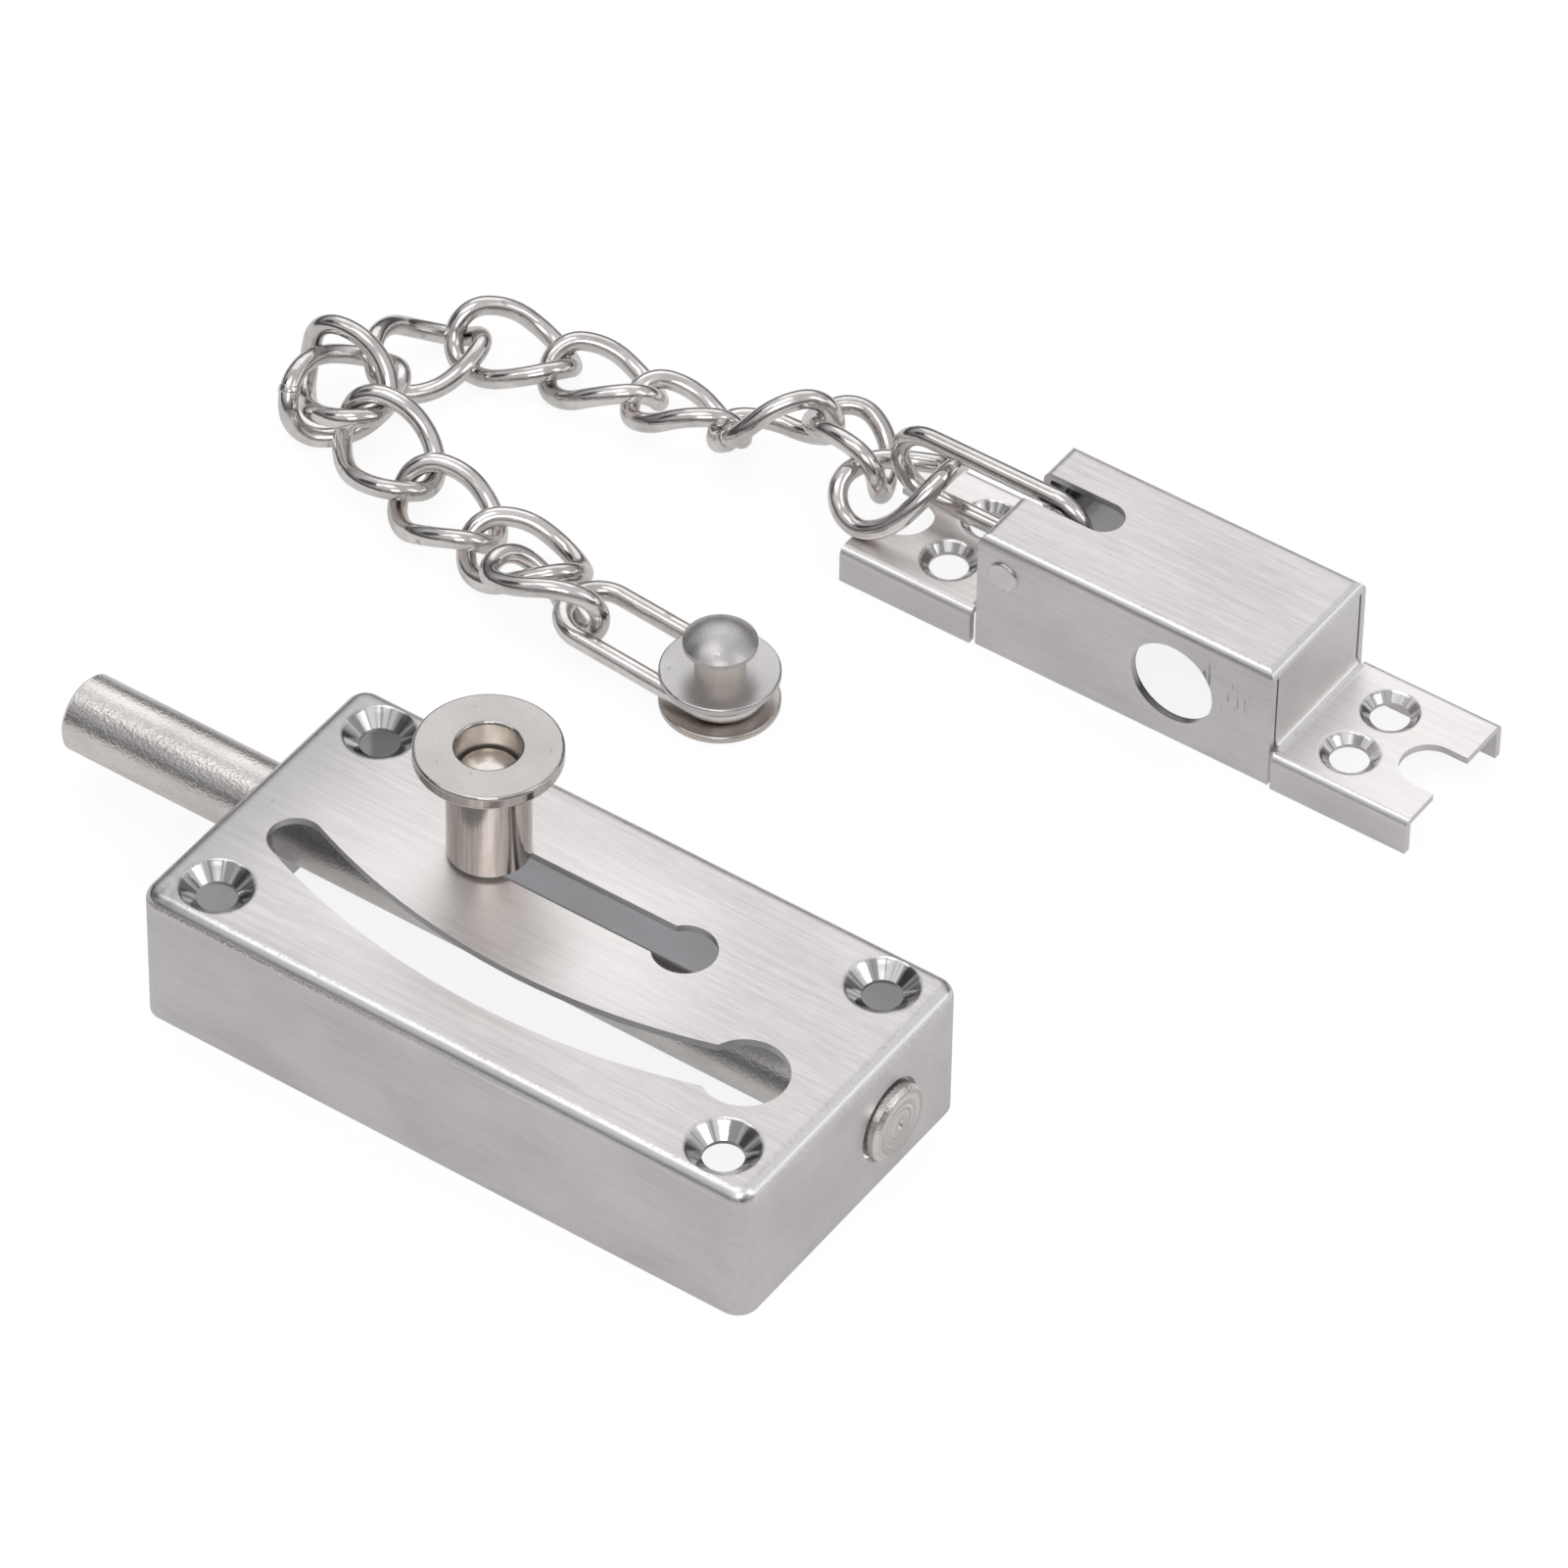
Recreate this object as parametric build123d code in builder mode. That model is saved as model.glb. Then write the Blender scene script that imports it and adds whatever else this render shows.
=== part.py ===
from build123d import *
import os
from math import asin, atan2, cos, degrees, radians, sin, sqrt, tan

os.makedirs("parts", exist_ok=True)

# A door bolt with a chain, in millimetres. The origin is the middle of the open back
# of the case, +Z points away from the door, and the bolt is thrown toward -X.
# The keeper and its chain lie beside the case, toward +Y, on the same surface.

# Case: one deep-drawn sheet box with an open back
CASE_LENGTH = 87.0
CASE_WIDTH = 44.0
CASE_HEIGHT = 19.8
CASE_SHEET = 1.0
CASE_CORNER_RADIUS = 2.7
CASE_EDGE_RADIUS = 2.1
CASE_SCREWS_X = 72.5
CASE_SCREWS_Y = 32.0
CASE_SINK_DIAMETER = 9.2

# Keeper: one folded sheet, a box with a screw flange at each end
KEEPER_X = 22.4
KEEPER_Y = 97.9
KEEPER_LENGTH = 42.7
KEEPER_WIDTH = 20.6
KEEPER_HEIGHT = 18.1
KEEPER_SHEET = 1.0
KEEPER_FOLD_RADIUS = 1.4
KEEPER_CORNER_SEAM = 0.35
FLANGE_REACH = 41.3
FLANGE_TOP = 5.3
FLANGE_FOLD_RADIUS = 1.2
FLANGE_ROOT_RADIUS = 1.4
LIP_PROUD = 0.4
RELIEF_SLIT = 0.6
NOTCH_WIDTH = 7.7
NOTCH_DEPTH = 6.7
NOTCH_Y = -0.9
KEEPER_SCREWS_X = 58.5
KEEPER_SCREWS_Y = 9.0
KEEPER_SINK_DIAMETER = 7.4

# Screw holes, the same size in both plates, in dimples that are pressed into the sheet
SCREW_HOLE_DIAMETER = 5.0
SINK_ANGLE = 100.0
SINK_LIP_RADIUS = 1.0
HOLE_LAND = 0.5
PRESSED_THINNING = 0.85

# Bolt, thrown, with its travel back into the case
BOLT_DIAMETER = 10.0
BOLT_Y = 7.3
BOLT_Z = 9.0
BOLT_NOSE_REACH = 30.6
BOLT_TAIL_REACH = 1.5
BOLT_TRAVEL = 28.1
BOLT_CHAMFER = 0.5
BOLT_CLEARANCE = 0.5
BOLT_CENTRE_DIAMETER = 1.6
BOLT_CENTRE_DEPTH = 0.7
KEEPER_BOLT_HOLE_X = 7.1
KEEPER_BOLT_CLEARANCE = 0.85

# Knob: a flanged sleeve round a headed pin
KNOB_X = -13.8
KNOB_TOP = 36.9
KNOB_BASE_GAP = 0.6
KNOB_FLANGE_DIAMETER = 17.9
KNOB_FLANGE_THICKNESS = 1.9
KNOB_SHANK_DIAMETER = 10.2
KNOB_BORE_DIAMETER = 7.85
KNOB_FLOOR = 2.0
KNOB_NOSE_HEIGHT = 0.3
KNOB_RIM_RADIUS = 0.4
PIN_STEM_DIAMETER = 4.0
PIN_STEM_CLEARANCE = 0.3
PIN_HEAD_DIAMETER = 7.0
PIN_HEAD_THICKNESS = 1.6
PIN_HEAD_DOME = 0.8
PIN_HEAD_DEPTH = 3.0
PIN_SEAT_DEPTH = 7.0
SPRING_STRIP_WIDTH = 0.8
SPRING_STRIP_HEIGHT = 0.6
SPRING_CLEARANCE = 0.3
SPRING_END_GAP = 0.1
SPRING_TURNS = 4.0

# Slots in the top of the case
STRAIGHT_SLOT_WIDTH = 5.3
STRAIGHT_SLOT_END_DIAMETER = 8.0
CURVED_SLOT_WIDTH = 6.9
CURVED_SLOT_RADIUS = 90.0
CURVED_SLOT_LOW_Y = -10.75
CURVED_SLOT_BLIND_X = -33.5
CURVED_SLOT_ENTRY_X = 31.5
CURVED_SLOT_ENTRY_DIAMETER = 10.8

# Chain: every link is bent from the same round wire
WIRE_DIAMETER = 2.5
LINK_GAP = 0.3
LINK_LENGTH = 18.1
LINK_WIDTH = 13.3
LINK_HALF_TWIST = 47.0
OVAL_LENGTH = 29.9
OVAL_WIDTH = 11.7

# Keeper's rivet and the slot that its ring swings in
RIVET_DIAMETER = 4.4
RIVET_X = -17.5
RIVET_DEPTH = 4.9
RIVET_DOME = 0.25
RING_Y = 1.2
RING_DROP = 0.4
RING_SHIFT = 0.4
RING_SLOT_WIDTH = 5.5
RING_SLOT_END_X = -8.1
RING_SLOT_SILL = 6.2

# Button at the end of the chain
BUTTON_HEAD_DIAMETER = 9.25
BUTTON_NECK_DIAMETER = 6.3
BUTTON_NECK_LENGTH = 3.8
BUTTON_RIM_CHAMFER = 0.3
BUTTON_WIRE_ROOM = 3.6
BUTTON_WIRE_HEIGHT = 1.65
BUTTON_HEAD_RIM = 0.9
BUTTON_HEAD_DOME = 1.9
BUTTON_POST_DIAMETER = 6.0
DISC_DIAMETER = 15.0
DISC_THICKNESS = 1.0
DISC_EDGE_RADIUS = 0.25

# Each link as it lies, from the keeper's ring to the button: where round the link before
# it the wires touch, the heading on the surface, the slope, the roll, and where round the
# link itself they touch. All in degrees, the touching places as shares of a full round.
CHAIN_LAY = [
    (-18, 225, -18, 4, 75),
    (-64, 143, -3, 38, -20),
    (37, -156, -21, -133, -4),
    (12, -177, -4, 25, -2),
    (-2, -177, -4, 8, -4),
    (0, -164, 6, -7, 0),
    (13, -108, 9, -8, 13),
    (5, -112, -2, -25, 3),
    (-92, -27, -3, -147, -7),
    (2, -21, -10, 21, -14),
    (1, -15, 0, 6, 4),
    (5, 8, 4, 0, -4),
    (-49, 2, -10, -47, -61),
]
END_LINK_LAY = (9, -1, -4, 0, 45)

# Case
CASE_CEILING = CASE_HEIGHT - CASE_SHEET
SCREW_RADIUS = SCREW_HOLE_DIAMETER / 2
SINK_SLOPE = tan(radians(SINK_ANGLE / 2))
SINK_DIP = radians(90 - SINK_ANGLE / 2)


def sink_punch(sink_radius, depth):
    """What a countersink leaves empty: a rolled lip, a cone and the screw's own hole."""
    roll = SINK_LIP_RADIUS * tan(SINK_DIP / 2)
    lip = (sink_radius + roll, 0)
    foot = (sink_radius - roll * cos(SINK_DIP), -roll * sin(SINK_DIP))
    with BuildPart() as punch:
        with BuildSketch(Plane.XZ):
            with BuildLine():
                TangentArc(lip, foot, tangent=(-1, 0))
                Polyline(
                    foot,
                    (SCREW_RADIUS, -depth),
                    (SCREW_RADIUS, -2 * depth),
                    (0, -2 * depth),
                    (0, depth),
                    (lip[0], depth),
                    lip,
                )
            make_face()
        revolve(axis=Axis.Z)
    return punch.part


def pressed_screw_holes(top, sheet, sink_diameter, spacing_x, spacing_y, centre):
    """Four countersunk screw holes, each in a dimple that hangs below the sheet."""
    sink_radius = sink_diameter / 2
    depth = (sink_radius - SCREW_RADIUS) / SINK_SLOPE
    wall = sheet * PRESSED_THINNING / cos(radians(SINK_ANGLE / 2))
    bottom = top - depth - HOLE_LAND
    ceiling = top - sheet
    with Locations((centre[0], centre[1], bottom)):
        with GridLocations(spacing_x, spacing_y, 2, 2):
            Cone(
                bottom_radius=SCREW_RADIUS + wall - HOLE_LAND * SINK_SLOPE,
                top_radius=SCREW_RADIUS + wall + (depth - sheet) * SINK_SLOPE,
                height=ceiling - bottom,
                align=(Align.CENTER, Align.CENTER, Align.MIN),
            )
    with Locations((centre[0], centre[1], top)):
        with GridLocations(spacing_x, spacing_y, 2, 2):
            add(sink_punch(sink_radius, depth), mode=Mode.SUBTRACT)


with BuildPart() as case:
    with BuildSketch():
        RectangleRounded(CASE_LENGTH, CASE_WIDTH, CASE_CORNER_RADIUS)
    extrude(amount=CASE_HEIGHT)
    fillet(case.faces().sort_by(Axis.Z)[-1].edges(), CASE_EDGE_RADIUS)
    offset(amount=-CASE_SHEET, openings=case.faces().sort_by(Axis.Z)[0])
    pressed_screw_holes(
        CASE_HEIGHT, CASE_SHEET, CASE_SINK_DIAMETER, CASE_SCREWS_X, CASE_SCREWS_Y, (0, 0)
    )
    # The bolt passes through both end walls
    with BuildSketch(Plane.YZ.offset(-CASE_LENGTH)):
        with Locations((BOLT_Y, BOLT_Z)):
            Circle(BOLT_DIAMETER / 2 + BOLT_CLEARANCE)
    extrude(amount=2 * CASE_LENGTH, mode=Mode.SUBTRACT)
    # Straight slot for the knob, with a round end at each end of its travel
    with BuildSketch(Plane.XY.offset(CASE_CEILING)):
        with Locations((KNOB_X + BOLT_TRAVEL / 2, BOLT_Y)):
            Rectangle(BOLT_TRAVEL, STRAIGHT_SLOT_WIDTH)
        with Locations((KNOB_X, BOLT_Y), (KNOB_X + BOLT_TRAVEL, BOLT_Y)):
            Circle(STRAIGHT_SLOT_END_DIAMETER / 2)
    extrude(amount=2 * CASE_SHEET, mode=Mode.SUBTRACT)
    # Curved slot for the neck of the button, which enters at the wide round end
    curve_y = CURVED_SLOT_LOW_Y + CURVED_SLOT_RADIUS
    blind_turn = asin(CURVED_SLOT_BLIND_X / CURVED_SLOT_RADIUS)
    entry_turn = asin(CURVED_SLOT_ENTRY_X / CURVED_SLOT_RADIUS)
    blind_end = (CURVED_SLOT_BLIND_X, curve_y - CURVED_SLOT_RADIUS * cos(blind_turn))
    entry_end = (CURVED_SLOT_ENTRY_X, curve_y - CURVED_SLOT_RADIUS * cos(entry_turn))
    with BuildSketch(Plane.XY.offset(CASE_CEILING)):
        with BuildLine():
            CenterArc(
                (0, curve_y),
                CURVED_SLOT_RADIUS,
                degrees(blind_turn) - 90,
                degrees(entry_turn - blind_turn),
            )
        trace(line_width=CURVED_SLOT_WIDTH)
        with Locations(blind_end):
            Circle(CURVED_SLOT_WIDTH / 2)
        with Locations(entry_end):
            Circle(CURVED_SLOT_ENTRY_DIAMETER / 2)
    extrude(amount=2 * CASE_SHEET, mode=Mode.SUBTRACT)

case.part.label = "case"
export_step(case.part, "parts/case.step")

# Bolt
bolt_nose = -CASE_LENGTH / 2 - BOLT_NOSE_REACH
bolt_tail = CASE_LENGTH / 2 + BOLT_TAIL_REACH
bolt_top = BOLT_Z + BOLT_DIAMETER / 2
pin_seat = bolt_top - PIN_SEAT_DEPTH

with BuildPart() as bolt:
    with BuildSketch(Plane.YZ.offset(bolt_nose)):
        with Locations((BOLT_Y, BOLT_Z)):
            Circle(BOLT_DIAMETER / 2)
    extrude(amount=bolt_tail - bolt_nose)
    chamfer(bolt.edges().filter_by(GeomType.CIRCLE), BOLT_CHAMFER)
    # Hole for the stem of the knob's pin
    with Locations((KNOB_X, BOLT_Y, pin_seat)):
        Cylinder(
            PIN_STEM_DIAMETER / 2,
            PIN_SEAT_DEPTH,
            align=(Align.CENTER, Align.CENTER, Align.MIN),
            mode=Mode.SUBTRACT,
        )
    # Centre mark that the lathe leaves in the tail
    with BuildSketch(Plane.XZ.offset(-BOLT_Y)):
        with BuildLine():
            Polyline(
                (bolt_tail, BOLT_Z),
                (bolt_tail, BOLT_Z + BOLT_CENTRE_DIAMETER / 2),
                (bolt_tail - BOLT_CENTRE_DEPTH, BOLT_Z),
                close=True,
            )
        make_face()
    revolve(axis=Axis((0, BOLT_Y, BOLT_Z), (1, 0, 0)), mode=Mode.SUBTRACT)

bolt.part.label = "bolt"
export_step(bolt.part, "parts/bolt.step")

# Knob
knob_axis = Axis((KNOB_X, BOLT_Y, 0), (0, 0, 1))
knob_base = CASE_HEIGHT + KNOB_BASE_GAP
bore_floor = knob_base + KNOB_FLOOR
bore_radius = KNOB_BORE_DIAMETER / 2
stem_radius = PIN_STEM_DIAMETER / 2
pin_hole_radius = stem_radius + PIN_STEM_CLEARANCE
nose_radius = STRAIGHT_SLOT_END_DIAMETER / 2 - PIN_STEM_CLEARANCE
pin_head_top = KNOB_TOP - PIN_HEAD_DEPTH
pin_head_rim = pin_head_top - PIN_HEAD_DOME
pin_head_seat = pin_head_rim - PIN_HEAD_THICKNESS


def at_knob(radius, height):
    """A point of a profile turned about the knob's axis."""
    return (KNOB_X + radius, height)


with BuildPart() as knob_sleeve:
    with BuildSketch(Plane.XZ.offset(-BOLT_Y)):
        with BuildLine():
            Polyline(
                at_knob(pin_hole_radius, knob_base - KNOB_NOSE_HEIGHT),
                at_knob(nose_radius, knob_base - KNOB_NOSE_HEIGHT),
                at_knob(nose_radius, knob_base),
                at_knob(KNOB_SHANK_DIAMETER / 2, knob_base),
                at_knob(KNOB_SHANK_DIAMETER / 2, KNOB_TOP - KNOB_FLANGE_THICKNESS),
                at_knob(KNOB_FLANGE_DIAMETER / 2, KNOB_TOP - KNOB_FLANGE_THICKNESS),
                at_knob(KNOB_FLANGE_DIAMETER / 2, KNOB_TOP),
                at_knob(bore_radius, KNOB_TOP),
                at_knob(bore_radius, bore_floor),
                at_knob(pin_hole_radius, bore_floor),
                close=True,
            )
        make_face()
    revolve(axis=knob_axis)
    rims = knob_sleeve.edges().filter_by(GeomType.CIRCLE)
    fillet(rims.filter_by(lambda edge: edge.center().Z > pin_head_top), KNOB_RIM_RADIUS)

knob_sleeve.part.label = "knob_sleeve"
export_step(knob_sleeve.part, "parts/knob_sleeve.step")

with BuildPart() as knob_pin:
    with BuildSketch(Plane.XZ.offset(-BOLT_Y)):
        with BuildLine():
            Polyline(
                at_knob(0, pin_head_top),
                at_knob(0, pin_seat),
                at_knob(stem_radius, pin_seat),
                at_knob(stem_radius, pin_head_seat),
                at_knob(PIN_HEAD_DIAMETER / 2, pin_head_seat),
                at_knob(PIN_HEAD_DIAMETER / 2, pin_head_rim),
            )
            TangentArc(
                at_knob(0, pin_head_top),
                at_knob(PIN_HEAD_DIAMETER / 2, pin_head_rim),
                tangent=(1, 0),
            )
        make_face()
    revolve(axis=knob_axis)

knob_pin.part.label = "knob_pin"
export_step(knob_pin.part, "parts/knob_pin.step")

# The spring fills the bore from its floor to the head of the pin
spring_radius = bore_radius - SPRING_CLEARANCE - SPRING_STRIP_WIDTH / 2
spring_base = bore_floor + SPRING_END_GAP
spring_height = pin_head_seat - SPRING_END_GAP - SPRING_STRIP_HEIGHT - spring_base

with BuildPart() as knob_spring:
    with BuildLine() as coil:
        Helix(
            pitch=spring_height / SPRING_TURNS,
            height=spring_height,
            radius=spring_radius,
            center=(KNOB_X, BOLT_Y, spring_base + SPRING_STRIP_HEIGHT / 2),
        )
    with BuildSketch(Plane(origin=coil.line @ 0, x_dir=(1, 0, 0), z_dir=coil.line % 0)):
        Rectangle(SPRING_STRIP_WIDTH, SPRING_STRIP_HEIGHT)
    sweep(path=coil.line, is_frenet=True)

knob_spring.part.label = "knob_spring"
export_step(knob_spring.part, "parts/knob_spring.step")

# Keeper
keeper_front = KEEPER_Y - KEEPER_WIDTH / 2
keeper_back = KEEPER_Y + KEEPER_WIDTH / 2
rivet_z = KEEPER_HEIGHT - RIVET_DEPTH
rivet_place = (KEEPER_X + RIVET_X, rivet_z)

with BuildPart() as keeper:
    with BuildSketch():
        with Locations((KEEPER_X, KEEPER_Y)):
            Rectangle(KEEPER_LENGTH, KEEPER_WIDTH)
    extrude(amount=KEEPER_HEIGHT)
    fillet(keeper.faces().sort_by(Axis.Z)[-1].edges(), KEEPER_FOLD_RADIUS)
    offset(amount=-KEEPER_SHEET, openings=keeper.faces().sort_by(Axis.Z)[0])
    # The end walls stop where they fold out into the flanges
    with BuildSketch():
        with Locations((KEEPER_X, KEEPER_Y)):
            Rectangle(2 * KEEPER_LENGTH, KEEPER_WIDTH - 2 * KEEPER_SHEET)
    extrude(amount=FLANGE_TOP - KEEPER_SHEET, mode=Mode.SUBTRACT)
    for side in (-1, 1):
        wall_x = KEEPER_X + side * KEEPER_LENGTH / 2
        end_x = KEEPER_X + side * FLANGE_REACH
        lip_x = wall_x + side * RELIEF_SLIT
        plate_x = wall_x - side * KEEPER_SHEET
        with BuildSketch(Plane.XY.offset(FLANGE_TOP - KEEPER_SHEET)):
            with Locations(((plate_x + end_x) / 2, KEEPER_Y)):
                Rectangle(abs(end_x - plate_x), KEEPER_WIDTH - 2 * KEEPER_SHEET)
        extrude(amount=KEEPER_SHEET)
        # The flange's two edges are folded down to the door
        with BuildSketch(Plane.YZ.offset(lip_x)):
            with Locations((KEEPER_Y, FLANGE_TOP / 2)):
                outline = Rectangle(KEEPER_WIDTH + 2 * LIP_PROUD, FLANGE_TOP)
            fillet(outline.vertices().sort_by(Axis.Y)[2:], FLANGE_FOLD_RADIUS)
            with Locations((KEEPER_Y, (FLANGE_TOP - KEEPER_SHEET) / 2)):
                Rectangle(
                    KEEPER_WIDTH + 2 * LIP_PROUD - 2 * KEEPER_SHEET,
                    FLANGE_TOP - KEEPER_SHEET,
                    mode=Mode.SUBTRACT,
                )
        extrude(amount=end_x - lip_x)
        # Rounded inside of the fold between the end wall and the flange
        with BuildSketch(Plane.XZ.offset(-keeper_front - KEEPER_SHEET)):
            with Locations((wall_x + side * FLANGE_ROOT_RADIUS / 2, FLANGE_TOP + FLANGE_ROOT_RADIUS / 2)):
                Rectangle(FLANGE_ROOT_RADIUS, FLANGE_ROOT_RADIUS)
            with Locations((wall_x + side * FLANGE_ROOT_RADIUS, FLANGE_TOP + FLANGE_ROOT_RADIUS)):
                Circle(FLANGE_ROOT_RADIUS, mode=Mode.SUBTRACT)
        extrude(amount=2 * KEEPER_SHEET - KEEPER_WIDTH)
        # The long walls stand free of the end wall, with an open seam down each corner
        with BuildSketch():
            with Locations(((plate_x + lip_x) / 2, KEEPER_Y)):
                with GridLocations(0, KEEPER_WIDTH - 2 * KEEPER_SHEET - KEEPER_CORNER_SEAM, 1, 2):
                    Rectangle(abs(lip_x - plate_x), KEEPER_CORNER_SEAM)
        extrude(amount=KEEPER_HEIGHT - KEEPER_FOLD_RADIUS, mode=Mode.SUBTRACT)
        # Round-ended notch in the end of the flange
        round_x = end_x - side * (NOTCH_DEPTH - NOTCH_WIDTH / 2)
        notch_y = KEEPER_Y + NOTCH_Y
        with BuildSketch():
            with Locations((round_x, notch_y)):
                Circle(NOTCH_WIDTH / 2)
            with Locations((round_x + side * NOTCH_WIDTH / 2, notch_y)):
                Rectangle(NOTCH_WIDTH, NOTCH_WIDTH)
        extrude(amount=FLANGE_TOP, mode=Mode.SUBTRACT)
    pressed_screw_holes(
        FLANGE_TOP,
        KEEPER_SHEET,
        KEEPER_SINK_DIAMETER,
        KEEPER_SCREWS_X,
        KEEPER_SCREWS_Y,
        (KEEPER_X, KEEPER_Y),
    )
    # Slot that the ring swings in, through the top and down the left end wall
    slot_y = KEEPER_Y + RING_Y
    slot_end_x = KEEPER_X + RING_SLOT_END_X - RING_SLOT_WIDTH / 2
    with BuildSketch(Plane.XY.offset(RING_SLOT_SILL)):
        with Locations((slot_end_x, slot_y)):
            Circle(RING_SLOT_WIDTH / 2)
        with Locations((slot_end_x - KEEPER_LENGTH / 2, slot_y)):
            Rectangle(KEEPER_LENGTH, RING_SLOT_WIDTH)
    extrude(amount=KEEPER_HEIGHT, mode=Mode.SUBTRACT)
    # Hole in the front wall that takes the bolt
    with BuildSketch(Plane.XZ.offset(-keeper_front - KEEPER_SHEET)):
        with Locations((KEEPER_X + KEEPER_BOLT_HOLE_X, BOLT_Z)):
            Circle(BOLT_DIAMETER / 2 + KEEPER_BOLT_CLEARANCE)
    extrude(amount=2 * KEEPER_SHEET, mode=Mode.SUBTRACT)
    # Holes for the rivet in both long walls
    with BuildSketch(Plane.XZ.offset(-keeper_back)):
        with Locations(rivet_place):
            Circle(RIVET_DIAMETER / 2)
    extrude(amount=KEEPER_WIDTH, mode=Mode.SUBTRACT)

keeper.part.label = "keeper"
export_step(keeper.part, "parts/keeper.step")

# Rivet that holds the ring in the keeper, its two ends slightly domed
rivet_radius = RIVET_DIAMETER / 2

with BuildPart() as keeper_pin:
    with BuildSketch(Plane.YZ.offset(rivet_place[0])):
        with BuildLine():
            Polyline(
                (keeper_back + RIVET_DOME, rivet_z),
                (keeper_front - RIVET_DOME, rivet_z),
            )
            TangentArc(
                (keeper_front - RIVET_DOME, rivet_z),
                (keeper_front, rivet_z + rivet_radius),
                tangent=(0, 1),
            )
            Line(
                (keeper_front, rivet_z + rivet_radius),
                (keeper_back, rivet_z + rivet_radius),
            )
            TangentArc(
                (keeper_back + RIVET_DOME, rivet_z),
                (keeper_back, rivet_z + rivet_radius),
                tangent=(0, 1),
            )
        make_face()
    revolve(axis=Axis((rivet_place[0], 0, rivet_z), (0, 1, 0)))

keeper_pin.part.label = "keeper_pin"
export_step(keeper_pin.part, "parts/keeper_pin.step")

# Chain
WIRE_RADIUS = WIRE_DIAMETER / 2


def oval_edges(length, width):
    """Centre line of a flat oval of wire, from its far tip round by +Y."""
    reach = (length - WIRE_DIAMETER) / 2
    bend = (width - WIRE_DIAMETER) / 2
    leg = reach - bend
    return [
        Edge.make_tangent_arc((reach, 0, 0), (0, 1, 0), (leg, bend, 0)),
        Edge.make_line((leg, bend, 0), (-leg, bend, 0)),
        Edge.make_tangent_arc((-leg, bend, 0), (-1, 0, 0), (-reach, 0, 0)),
        Edge.make_tangent_arc((-reach, 0, 0), (0, -1, 0), (-leg, -bend, 0)),
        Edge.make_line((-leg, -bend, 0), (leg, -bend, 0)),
        Edge.make_tangent_arc((leg, -bend, 0), (1, 0, 0), (reach, 0, 0)),
    ]


def twisted_edges(length, width, half_twist):
    """Centre line of a curb link, from its far tip round by +Y.

    A quarter of the link is two arcs that meet smoothly, and the other quarters are
    the same one turned half round about the link's three axes.
    """
    reach = (length - WIRE_DIAMETER) / 2
    side = (width - WIRE_DIAMETER) / 2
    twist = radians(half_twist)
    lean = atan2(side * twist, reach)
    tip = Vector(reach, 0, 0)
    flank = Vector(0, side, 0)
    tip_way = Vector(0, cos(twist), -sin(twist))
    flank_way = Vector(-cos(lean), 0, sin(lean))
    chord = flank - tip
    ways = tip_way + flank_way
    square = ways.dot(ways) - 4
    linear = -2 * chord.dot(ways)
    handle = (-linear - sqrt(linear**2 - 4 * square * chord.dot(chord))) / (2 * square)
    meet = (tip + tip_way * handle + flank - flank_way * handle) * 0.5
    quarters = [(1, 1, 1), (-1, 1, -1), (-1, -1, 1), (1, -1, -1)]
    meets = [Vector(meet.X * x, meet.Y * y, meet.Z * z) for x, y, z in quarters]
    stops = [tip, meets[0], flank, meets[1], -tip, meets[2], -flank, meets[3], tip]
    edges = []
    heading = tip_way
    for start, end in zip(stops, stops[1:]):
        edges.append(Edge.make_tangent_arc(start, heading, end))
        heading = edges[-1] % 1
    return edges


def bent_wire(edges):
    """Round wire along a closed centre line: one half swept, and turned for the other."""
    half = edges[: len(edges) // 2]
    with BuildPart() as ring:
        with BuildSketch(Plane(origin=half[0] @ 0, z_dir=half[0] % 0)):
            Circle(WIRE_RADIUS)
        sweep(path=Wire(half))
        add(ring.part.rotate(Axis.Z, 180))
    return ring.part


def touch(edges, turn):
    """Point and direction on a closed centre line, by a share of 360 of its length."""
    way = (turn / 360 % 1) * sum(edge.length for edge in edges)
    for edge in edges:
        if way <= edge.length:
            return edge @ (way / edge.length), edge % (way / edge.length)
        way -= edge.length
    return edges[-1] @ 1, edges[-1] % 1


def lay_plane(origin, heading, slope, roll):
    """Plane whose X runs along a link that lies with this heading, slope and roll."""
    along = Vector(1, 0, 0).rotate(Axis.Y, -slope).rotate(Axis.Z, heading)
    level = Vector(0, 1, 0).rotate(Axis.Z, heading)
    across = level.rotate(Axis((0, 0, 0), along), roll)
    return Plane(origin=origin, x_dir=along, z_dir=along.cross(across))


def hooked_plane(before, own, lay):
    """Plane of a link that hooks through the one before it, a small gap from its wire."""
    there, heading, slope, roll, here = lay
    catch = touch(before, there)[0]
    contact, direction = touch(own, 180 + here)
    inward = contact * -1 + direction * contact.dot(direction)
    held = contact + inward.normalized() * (WIRE_DIAMETER + LINK_GAP)
    turned = lay_plane((0, 0, 0), heading, slope, roll)
    return lay_plane(catch - turned.from_local_coords(held), heading, slope, roll)


oval_line = oval_edges(OVAL_LENGTH, OVAL_WIDTH)
link_line = twisted_edges(LINK_LENGTH, LINK_WIDTH, LINK_HALF_TWIST)
oval_wire = bent_wire(oval_line)
link_wire = bent_wire(link_line)

# The keeper's ring stands upright in the slot, with the rivet inside its right bend
ring_x = rivet_place[0] - RING_SHIFT - (OVAL_LENGTH - OVAL_WIDTH) / 2
ring_plane = lay_plane((ring_x, slot_y, rivet_z - RING_DROP), 180, 0, 90)

with BuildPart() as keeper_ring:
    with Locations(ring_plane.location):
        add(oval_wire)

keeper_ring.part.label = "keeper_ring"
export_step(keeper_ring.part, "parts/keeper_ring.step")

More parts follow.
